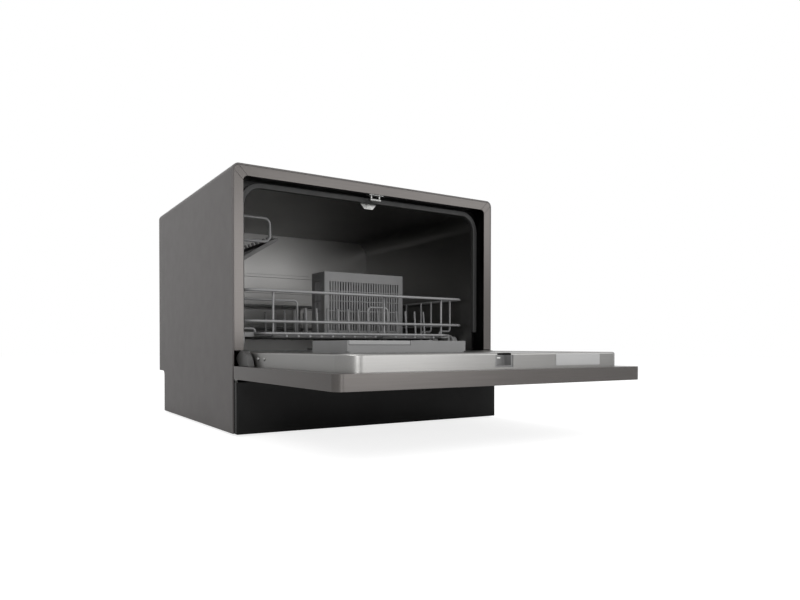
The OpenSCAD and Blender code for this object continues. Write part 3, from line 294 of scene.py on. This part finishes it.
def surface(name, colour, rough, metal=0.0, spread=0.06, grain=900.0, depth=0.05,
            rough_spread=0.12, shine=0.5):
    """A finish with soft clouds in its colour, wear in its gloss and a fine grain in its relief."""
    tree, shader, coord = new_finish(name)
    clouds = noise(tree, coord, CLOUD_SCALE, 4.0)
    tree.links.new(tinted(tree, clouds, colour, spread), shader.inputs["Base Color"])
    fine = noise(tree, coord, grain)
    wear = noise(tree, coord, WEAR_SCALE, 5.0)
    gloss = remap(tree, wear, rough * (1 - rough_spread), rough * (1 + rough_spread))
    tree.links.new(gloss, shader.inputs["Roughness"])
    bump(tree, shader, fine, depth, GRAIN_HEIGHT)
    shader.inputs["Metallic"].default_value = metal
    shader.inputs["Specular IOR Level"].default_value = shine


def brushed(name, colour, rough, stretch, depth=0.006, streaks=0.12, shade_y=None):
    """Rolled sheet, with fine marks along one direction and faint water stains."""
    tree, shader, coord = new_finish(name)
    marks = noise(tree, coord, BRUSH_SCALE, 2.0, stretch)
    stains = noise(tree, coord, STAIN_SCALE, 2.0)
    plain = tinted(tree, stains, colour, STAIN_SPREAD)
    marked = tree.nodes.new("ShaderNodeMix")
    marked.data_type = "RGBA"
    marked.blend_type = "MULTIPLY"
    marked.inputs["Factor"].default_value = streaks
    tree.links.new(plain, marked.inputs["A"])
    streak = shade_between(tree, remap(tree, marks, 0, 1), BRUSH_DARK, WHITE)
    tree.links.new(streak, marked.inputs["B"])
    finished = marked.outputs["Result"]
    # Painted shade: black over the band of the sheet that lies in shade
    if shade_y:
        finished = painted_shade(tree, coord, finished, shade_y)
    tree.links.new(finished, shader.inputs["Base Color"])
    tree.links.new(remap(tree, stains, rough * 0.92, rough * 1.1), shader.inputs["Roughness"])
    bump(tree, shader, marks, depth, BRUSH_HEIGHT)
    shader.inputs["Metallic"].default_value = 1.0


def painted_shade(tree, coord, colour, shade_y):
    """Painted shade: a colour that turns black from the first Y place to the second, over sheet that
    lies in shade.
    """
    parts = tree.nodes.new("ShaderNodeSeparateXYZ")
    tree.links.new(coord.outputs["Object"], parts.inputs["Vector"])
    black = remap(tree, parts.outputs["Y"], 0, 1, *shade_y)
    turned = shade_between(tree, black, WHITE, SHADE_BLACK)
    tree.links.new(colour, turned.node.inputs["A"])
    return turned


def make_materials():
    """Makes every finish, under the name of its material slot or its own."""
    f = finishes()
    surface("casing_paint", f.casing, 0.50, grain=260, depth=0.01, spread=0.02, rough_spread=0.04)
    brushed("frame_steel", f.trim, 0.30, MARKS_ALONG_X, depth=0.004, streaks=0.3)
    # Painted shade: the frame's return is painted black where it lies in shade
    brushed("frame_band_painted_shade", f.trim, 0.30, MARKS_ALONG_X, 0.004, 0.3, shade_y=FRAME_RETURN_SHADE_Y)
    surface("kick_gloss", f.black, 0.16, spread=0.2, grain=60, depth=0.005, shine=0.07)
    surface("rear_steel", (0.17, 0.17, 0.168), 0.5, metal=0.3, grain=500, depth=0.02)
    surface("tray_plastic", (0.02, 0.02, 0.021), 0.55, grain=800, depth=0.25)
    surface("rubber", f.rubber, 0.62, grain=600, depth=0.2)
    brushed("stainless", f.steel, 0.30, MARKS_ALONG_X, streaks=0.2)
    # Painted shade: a darker copy of the stainless for the tub, which lies in shade, with its flange
    # painted black
    brushed("tub_steel_painted_shade", f.tub, 0.36, MARKS_ALONG_Y, shade_y=TUB_FLANGE_SHADE_Y)
    surface("dark_plastic", f.dark_plastic, 0.46, grain=1300, depth=0.16)
    surface("plated_steel", (0.30, 0.30, 0.295), 0.42, metal=1.0, grain=500, depth=0.05)
    surface("spring_steel", (0.08, 0.08, 0.085), 0.35, metal=0.8, grain=600, depth=0.1)
    surface("grey_plastic", f.plastic, 0.48, grain=1500, depth=0.18)
    surface("white_plastic", (0.6, 0.6, 0.58), 0.5, grain=900, depth=0.12)
    surface("hose", (0.05, 0.05, 0.05), 0.5, grain=500, depth=0.15)
    surface("core_plastic", (0.035, 0.035, 0.037), 0.6, grain=700, depth=0.2)
    surface("circuit_board", (0.01, 0.09, 0.03), 0.35, grain=300, depth=0.1)
    surface("light_plastic", f.light_plastic, 0.45, grain=1500, depth=0.15)
    surface("button_plastic", (0.02, 0.02, 0.02), 0.34, grain=900, depth=0.08)
    surface("display_glass", (0.004, 0.005, 0.006), 0.04, grain=60, depth=0.002)
    surface("plate_film", (0.34, 0.34, 0.34), 0.45, grain=300, depth=0.03)
    surface("coated_wire", f.wire, 0.31, grain=420, spread=0.08, rough_spread=0.08)
    surface("wheel_plastic", f.light_plastic, 0.46, grain=1500, depth=0.15)


def finish_of(node):
    return MATERIALS[OWN_FINISH.get(node, SLOT_OF[node])]


# ---- Softened copies of the frame's pieces ----

def only(obj):
    bpy.ops.object.select_all(action="DESELECT")
    obj.select_set(True)
    bpy.context.view_layer.objects.active = obj


def dress(obj, slot, body, finish=None):
    """Gives a piece a finish, that of its material slot unless another is named, and the body that
    it rides on.
    """
    obj.data.materials.clear()
    obj.data.materials.append(MATERIALS[finish or slot])
    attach(obj, body)


def soften(node, edge, segments):
    """A merged copy of a CAD node with small rounds on its sharp edges, which takes its place."""
    source = frame["nodes"][node]
    piece = source.copy()
    piece.data = source.data.copy()
    piece.name = node + "_shaped"
    piece.parent = None
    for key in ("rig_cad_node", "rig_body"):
        del piece[key]
    bpy.context.scene.collection.objects.link(piece)
    only(piece)
    bpy.ops.object.mode_set(mode="EDIT")
    bpy.ops.mesh.select_all(action="SELECT")
    bpy.ops.mesh.remove_doubles(threshold=MERGE_WITHIN)
    if edge > 0:
        # Flat stretches become large convex faces, which take an even bevel
        bpy.ops.mesh.dissolve_limited(angle_limit=math.radians(FLAT_WITHIN))
        bpy.ops.mesh.select_all(action="SELECT")
        bpy.ops.mesh.vert_connect_concave()
    bpy.ops.object.mode_set(mode="OBJECT")
    if edge > 0:
        with_modifier(
            piece, "BEVEL", width=edge, segments=segments, limit_method="ANGLE",
            angle_limit=math.radians(ROUND_OVER), use_clamp_overlap=True, miter_outer="MITER_ARC",
        )
    bpy.ops.object.shade_smooth_by_angle(angle=math.radians(SMOOTH_UNDER))
    if edge > 0:
        keep_flats(piece)
    dress(piece, SLOT_OF[node], source["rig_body"], OWN_FINISH.get(node))
    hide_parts(node)


def soften_all(nodes, edge, segments=2):
    for node in nodes:
        soften(node, edge, segments)


# ---- Modelling by hand ----

def block(name, low, high):
    """A box between two corners, with its place in its mesh."""
    bpy.ops.object.select_all(action="DESELECT")
    bpy.ops.mesh.primitive_cube_add(size=1)
    piece = bpy.context.object
    piece.name = name
    piece.scale = [h - l for l, h in zip(low, high)]
    piece.location = [(h + l) / 2 for l, h in zip(low, high)]
    bpy.ops.object.transform_apply(location=True, rotation=True, scale=True)
    return piece


def round_bar(name, centre, radius, length, axis):
    """A round bar about its centre, along one axis, with its place in its mesh."""
    bpy.ops.object.select_all(action="DESELECT")
    turn = {"X": (0, math.pi / 2, 0), "Y": (math.pi / 2, 0, 0), "Z": (0, 0, 0)}[axis]
    bpy.ops.mesh.primitive_cylinder_add(
        vertices=SCREW_SIDES, radius=radius, depth=length, location=centre, rotation=turn
    )
    piece = bpy.context.object
    piece.name = name
    bpy.ops.object.transform_apply(location=True, rotation=True, scale=True)
    return piece


def shape(piece):
    """Opens a piece for editing."""
    only(piece)
    bpy.ops.object.mode_set(mode="EDIT")


def pick(piece, kind, test):
    """Selects the faces or edges that pass a test, and nothing else."""
    bpy.ops.mesh.select_mode(type={"faces": "FACE", "edges": "EDGE"}[kind])
    bpy.ops.mesh.select_all(action="DESELECT")
    bm = bmesh.from_edit_mesh(piece.data)
    for part in getattr(bm, kind):
        if test(part):
            part.select_set(True)
    bmesh.update_edit_mesh(piece.data)


def near(a, b, within=1e-4):
    return abs(a - b) < within


def sharp(edge, degrees=40):
    return len(edge.link_faces) == 2 and edge.calc_face_angle() > math.radians(degrees)


def runs_along(edge, axis):
    """True for an edge whose ends differ along one axis alone."""
    start, end = (v.co for v in edge.verts)
    return all(near(start[i], end[i]) for i in range(3) if i != "XYZ".index(axis))


def lies_at_y(edge, y):
    return all(near(v.co.y, y) for v in edge.verts)


def with_modifier(piece, kind, **settings):
    only(piece)
    modifier = piece.modifiers.new(kind.title(), kind)
    for key, value in settings.items():
        setattr(modifier, key, value)
    bpy.ops.object.modifier_apply(modifier=modifier.name)


def cut_box(piece, low, high):
    """Takes a box between two corners out of a piece."""
    cutter = block("cutter", low, high)
    with_modifier(piece, "BOOLEAN", operation="DIFFERENCE", solver="EXACT", object=cutter)
    bpy.data.objects.remove(cutter)


def keep_flats(piece):
    """Turns the normals at the edges of a large face to that face, so that it shades as flat."""
    with_modifier(piece, "WEIGHTED_NORMAL", keep_sharp=True, weight=FLAT_WEIGHT)


def done(piece, angle=SMOOTH_UNDER):
    bpy.ops.object.mode_set(mode="OBJECT")
    only(piece)
    bpy.ops.object.shade_smooth_by_angle(angle=math.radians(angle))
    keep_flats(piece)


class Step(bpy.types.Operator):
    bl_options = {"REGISTER", "UNDO"}

    def execute(self, context):
        self.build()
        return {"FINISHED"}


class DISHWASHER_OT_finishes(Step):
    """Gives every piece of the frame its finish"""
    bl_idname = "dishwasher.finishes"
    bl_label = "Finishes"

    def build(self):
        make_materials()
        for node, obj in frame["nodes"].items():
            obj.data.materials.clear()
            obj.data.materials.append(finish_of(node))


class DISHWASHER_OT_sheet_metal(Step):
    """Rounds the folded edges of the casing, the frame, the tub and the door"""
    bl_idname = "dishwasher.sheet_metal"
    bl_label = "Sheet metal"

    def build(self):
        soften_all(["outer_casing", "door_panel"], sizes().soft_edge, 3)
        soften_all(["front_frame", "tub_wrap", "tub_back", "tub_floor"], sizes().sheet_edge)
        soften_all(
            ["rear_panel", "hinge_brackets", "latch_striker", "inlet_connector"], sizes().crisp_edge
        )


class DISHWASHER_OT_mouldings(Step):
    """Rounds the edges of the plastic and rubber pieces"""
    bl_idname = "dishwasher.mouldings"
    bl_label = "Mouldings"

    def build(self):
        soften_all(["kick_plate", "base_tray", "door_gasket", "feet"], sizes().thick_edge, 3)
        dispenser = ["dispenser_body", "dispenser_lid", "rinse_aid_cap"]
        soften_all(["hinge_cheeks", *dispenser], sizes().soft_edge, 3)
        latch = ["latch_housing", "latch_catch"]
        soften_all(["control_fascia", *latch, "door_core"], sizes().crisp_edge)
        soften_all(
            [
                "power_button", "program_button", "start_button", "spray_arm", "spray_arm_stand",
                "coarse_filter", "sump", "cable_gland", "drain_spigot", "wheel_carriers",
            ],
            sizes().moulded_edge,
        )
        wheels = [node for node in frame["nodes"] if SLOT_OF[node] == "wheel_plastic"]
        soften_all(["cup_shelf", *wheels], sizes().sheet_edge)


class DISHWASHER_OT_round_pieces(Step):
    """Smooths the wires of the rack and the round pieces under the tub"""
    bl_idname = "dishwasher.round_pieces"
    bl_label = "Wires and round pieces"

    def build(self):
        soften_all(
            [
                "rack_rails", "rack_base", "rack_hoops", "rack_sides", "rack_tines", "cup_rack",
                "cup_guard", "pumps", "water_heater", "inner_hoses",
            ],
            0,
        )


class DISHWASHER_OT_inner_panel(Step):
    """Pressed inner panel of the door, with its rolled lower edge and the mouth of the latch"""
    bl_idname = "dishwasher.inner_panel"
    bl_label = "Inner panel"

    def build(self):
        low, high = LINER
        rim = high.z - PRESSED_HEIGHT
        piece = block("inner_panel", (low.x, low.y, rim), (high.x, HINGE.y, high.z))
        shape(piece)
        pick(piece, "faces", lambda f: f.normal.z < -0.5 or f.normal.y > 0.5)
        bpy.ops.mesh.delete(type="FACE")
        pick(piece, "edges", lambda e: lies_at_y(e, low.y) and runs_along(e, "Z"))
        bpy.ops.mesh.bevel(offset=PRESSED_CORNER, segments=CORNER_STEPS, affect="EDGES")
        pick(piece, "faces", lambda f: f.normal.z > 0.5)
        bpy.ops.mesh.inset(thickness=sizes().ledge, depth=0)
        bpy.ops.mesh.inset(thickness=FIELD_STEP, depth=-FIELD_DROP)
        pick(piece, "edges", lambda e: e.is_boundary and lies_at_y(e, HINGE.y))
        bpy.ops.mesh.spin(
            steps=CORNER_STEPS, angle=math.radians(ROLL_TURN), center=HINGE, axis=(1, 0, 0)
        )
        bpy.ops.mesh.select_all(action="SELECT")
        bpy.ops.mesh.remove_doubles(threshold=MERGE_WITHIN)
        pick(piece, "edges", lambda e: sharp(e, 50))
        bpy.ops.mesh.bevel(offset=FOLD_RADIUS, segments=4, affect="EDGES")
        bpy.ops.object.mode_set(mode="OBJECT")
        with_modifier(piece, "SOLIDIFY", thickness=INNER_SHEET, offset=-1)
        front = low.y - CUTTER_REACH
        above = high.z + CUTTER_REACH
        # Socket that shows the catch, mouth that the striker enters by, and the powder cup's hole
        cut_box(
            piece,
            (-SOCKET_HALF_WIDTH, front, rim + SOCKET_RIM),
            (SOCKET_HALF_WIDTH, low.y + SOCKET_DEPTH, high.z - SOCKET_RIM),
        )
        cut_box(
            piece,
            (-MOUTH_HALF_WIDTH, front, high.z - MOUTH_HEIGHT),
            (MOUTH_HALF_WIDTH, low.y + MOUTH_DEPTH, above),
        )
        lid_low, lid_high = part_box("dispenser_lid")
        cut_box(
            piece,
            (lid_low.x + CUP_MARGIN, lid_low.y + CUP_SHIFT, low.z - CUTTER_REACH),
            (lid_high.x - CUP_MARGIN, lid_high.y + CUP_SHIFT, above),
        )
        done(piece, 30)
        dress(piece, "stainless", "door")
        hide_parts("door_liner")


class DISHWASHER_OT_screws(Step):
    """Cross-recessed screws in the door's sides and the rear panel"""
    bl_idname = "dishwasher.screws"
    bl_label = "Screws"

    def build(self):
        low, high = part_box("liner_screws")
        inset = SIDE_SCREW_RADIUS
        for side, x, out in (("left", low.x, -1), ("right", high.x, 1)):
            for i, y in enumerate((low.y + inset, high.y - inset)):
                centre = (x - out * SCREW_HEIGHT / 2, y, (low.z + high.z) / 2)
                piece = screw(f"screw_{side}_{i + 1}", centre, inset, "X", out)
                dress(piece, "plated_steel", "door")
                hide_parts("liner_screws")
        low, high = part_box("casing_screws")
        inset = REAR_SCREW_RADIUS
        for i, x in enumerate((low.x + inset, 0, high.x - inset)):
            for j, z in enumerate((low.z + inset, high.z - inset)):
                centre = (x, high.y - SCREW_HEIGHT / 2, z)
                piece = screw(f"rear_screw_{i * 2 + j + 1}", centre, inset, "Y", 1)
                dress(piece, "plated_steel", "cabinet")
                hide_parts("casing_screws")


def screw(name, centre, radius, axis, out):
    """A low round head with a cross recess, facing out along its axis."""
    head = round_bar(name, centre, radius, SCREW_HEIGHT, axis)
    along = "XYZ".index(axis)
    face = centre[along] + out * SCREW_HEIGHT / 2
    shape(head)
    pick(head, "edges", lambda e: sharp(e) and all(near(v.co[along], face, 1e-5) for v in e.verts))
    bpy.ops.mesh.bevel(offset=SCREW_HEIGHT * HEAD_ROUND, segments=3, affect="EDGES")
    bpy.ops.object.mode_set(mode="OBJECT")
    middle = list(centre)
    middle[along] = face
    for slot_axis in range(3):
        if slot_axis != along:
            half = [radius * RECESS_HALF_WIDTH] * 3
            half[slot_axis] = radius * RECESS_HALF_LENGTH
            half[along] = SCREW_HEIGHT * RECESS_DEPTH
            cut_box(
                head, [m - h for m, h in zip(middle, half)], [m + h for m, h in zip(middle, half)]
            )
    done(head)
    return head


class DISHWASHER_OT_plates(Step):
    """Blank plate on the inner panel and the window over the display"""
    bl_idname = "dishwasher.plates"
    bl_label = "Plate and window"

    def build(self):
        back = LINER[0].y - PLATE_LIFT
        z = LINER[1].z - PLATE_BELOW_RIM
        plate = rounded_plate(
            "blank_plate",
            (PLATE_X[0], back - PLATE_THICKNESS, z - PLATE_HALF_HEIGHT),
            (PLATE_X[1], back, z + PLATE_HALF_HEIGHT),
            "Y", PLATE_CORNER, 4,
        )
        dress(plate, "light_plastic", "door", "plate_film")
        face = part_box("control_fascia")[0].z
        y = sum(corner.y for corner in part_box("power_button")) / 2
        window = rounded_plate(
            "display_window",
            (WINDOW_X[0], y - WINDOW_HALF_WIDTH, face),
            (WINDOW_X[1], y + WINDOW_HALF_WIDTH, face + WINDOW_THICKNESS),
            "Z", WINDOW_CORNER, 5,
        )
        dress(window, "kick_gloss", "door", "display_glass")


def rounded_plate(name, low, high, through, corner, segments):
    """A thin plate whose corners are round, seen along the axis that it is thin in."""
    plate = block(name, low, high)
    shape(plate)
    pick(plate, "edges", lambda e: runs_along(e, through))
    bpy.ops.mesh.bevel(offset=corner, segments=segments, affect="EDGES")
    done(plate)
    return plate


# ---- Stage ----

class DISHWASHER_OT_stage(Step):
    """Floor, backdrop, soft lamps and the camera"""
    bl_idname = "dishwasher.stage"
    bl_label = "Stage"

    def build(self):
        make_world()
        make_floor()
        for name, place, target, size, share in LAMPS:
            soft_lamp(name, place, target, size, sizes().softbox_power * share)
        make_camera()
        bpy.context.scene.view_settings.view_transform = "Standard"


def either(tree, first, second):
    """The larger of two outputs, which is 1 where one of them is."""
    larger = tree.nodes.new("ShaderNodeMath")
    larger.operation = "MAXIMUM"
    tree.links.new(first, larger.inputs[0])
    tree.links.new(second, larger.inputs[1])
    return larger.outputs[0]


def switched(tree, when, off, on, output):
    """Shows one shader or another, by an output that is 0 or 1."""
    mix = tree.nodes.new("ShaderNodeMixShader")
    tree.links.new(when, mix.inputs["Fac"])
    tree.links.new(off, mix.inputs[1])
    tree.links.new(on, mix.inputs[2])
    tree.links.new(mix.outputs[0], tree.nodes[output].inputs["Surface"])


def make_world():
    world = bpy.data.worlds.new("studio")
    bpy.context.scene.world = world
    world.use_nodes = True
    tree = world.node_tree
    lit = tree.nodes["Background"]
    lit.inputs["Color"].default_value = (1, 1, 1, 1)
    lit.inputs["Strength"].default_value = WORLD_LIGHT
    white = add(tree, "ShaderNodeBackground", Color=(1, 1, 1, 1), Strength=1.0)
    path = tree.nodes.new("ShaderNodeLightPath").outputs
    seen = either(tree, path["Is Camera Ray"], path["Is Transmission Ray"])
    seen = either(tree, seen, path["Is Glossy Ray"])
    switched(tree, seen, lit.outputs[0], white.outputs[0], "World Output")


def make_floor():
    """A floor that the camera sees as almost white, with the object's soft shadow on it."""
    bpy.ops.object.select_all(action="DESELECT")
    bpy.ops.mesh.primitive_plane_add(size=FLOOR_SIZE, location=(0, 2, 0))
    floor = bpy.context.object
    floor.name = "floor"
    mat = bpy.data.materials.new("floor")
    mat.use_nodes = True
    tree = mat.node_tree
    tree.nodes.remove(tree.nodes["Principled BSDF"])
    shadowed = add(tree, "ShaderNodeBsdfDiffuse", Color=(*[FLOOR_SHADOW_GREY] * 3, 1))
    glow = add(tree, "ShaderNodeEmission", Strength=FLOOR_GLOW)
    plain = add(tree, "ShaderNodeBsdfDiffuse", Color=(*[FLOOR_GREY] * 3, 1))
    both = tree.nodes.new("ShaderNodeAddShader")
    tree.links.new(shadowed.outputs[0], both.inputs[0])
    tree.links.new(glow.outputs[0], both.inputs[1])
    path = tree.nodes.new("ShaderNodeLightPath").outputs
    seen = either(tree, path["Is Camera Ray"], path["Is Transmission Ray"])
    switched(tree, seen, plain.outputs[0], both.outputs[0], "Material Output")
    floor.data.materials.append(mat)


def soft_lamp(name, place, target, size, power):
    lamp = bpy.data.lights.new(name, "AREA")
    lamp.shape = "DISK"
    lamp.size = size
    lamp.energy = power
    obj = bpy.data.objects.new(name, lamp)
    bpy.context.scene.collection.objects.link(obj)
    obj.location = place
    obj.rotation_euler = (Vector(target) - Vector(place)).to_track_quat("-Z", "Y").to_euler()


def make_camera():
    data = bpy.data.cameras.new("camera")
    data.sensor_width = CAMERA_SENSOR
    data.lens = CAMERA_LENS
    data.shift_x, data.shift_y = CAMERA_SHIFT
    camera = bpy.data.objects.new("camera", data)
    bpy.context.scene.collection.objects.link(camera)
    camera.location = CAMERA_PLACE
    camera.rotation_euler = [math.radians(angle) for angle in CAMERA_TURN]
    bpy.context.scene.camera = camera


class DISHWASHER_PT_panel(bpy.types.Panel):
    bl_idname = "DISHWASHER_PT_panel"
    bl_label = "Dishwasher"
    bl_space_type = "VIEW_3D"
    bl_region_type = "UI"
    bl_category = "Dishwasher"

    def draw(self, context):
        for group in (context.scene.dishwasher_finishes, context.scene.dishwasher_sizes):
            for name in group.bl_rna.properties.keys():
                if name not in ("rna_type", "name"):
                    self.layout.prop(group, name)
        for step in STEPS:
            self.layout.operator(step.bl_idname)


STEPS = (
    DISHWASHER_OT_finishes, DISHWASHER_OT_sheet_metal, DISHWASHER_OT_mouldings,
    DISHWASHER_OT_round_pieces, DISHWASHER_OT_inner_panel, DISHWASHER_OT_screws,
    DISHWASHER_OT_plates, DISHWASHER_OT_stage,
)
CLASSES = (DishwasherFinishes, DishwasherSizes, *STEPS, DISHWASHER_PT_panel)


def register():
    for cls in CLASSES:
        bpy.utils.register_class(cls)
    bpy.types.Scene.dishwasher_finishes = PointerProperty(type=DishwasherFinishes)
    bpy.types.Scene.dishwasher_sizes = PointerProperty(type=DishwasherSizes)


def unregister():
    del bpy.types.Scene.dishwasher_sizes
    del bpy.types.Scene.dishwasher_finishes
    for cls in reversed(CLASSES):
        bpy.utils.unregister_class(cls)


def main():
    register()
    for step in STEPS:
        group, name = step.bl_idname.split(".")
        getattr(getattr(bpy.ops, group), name)()


if __name__ == "__main__":
    main()
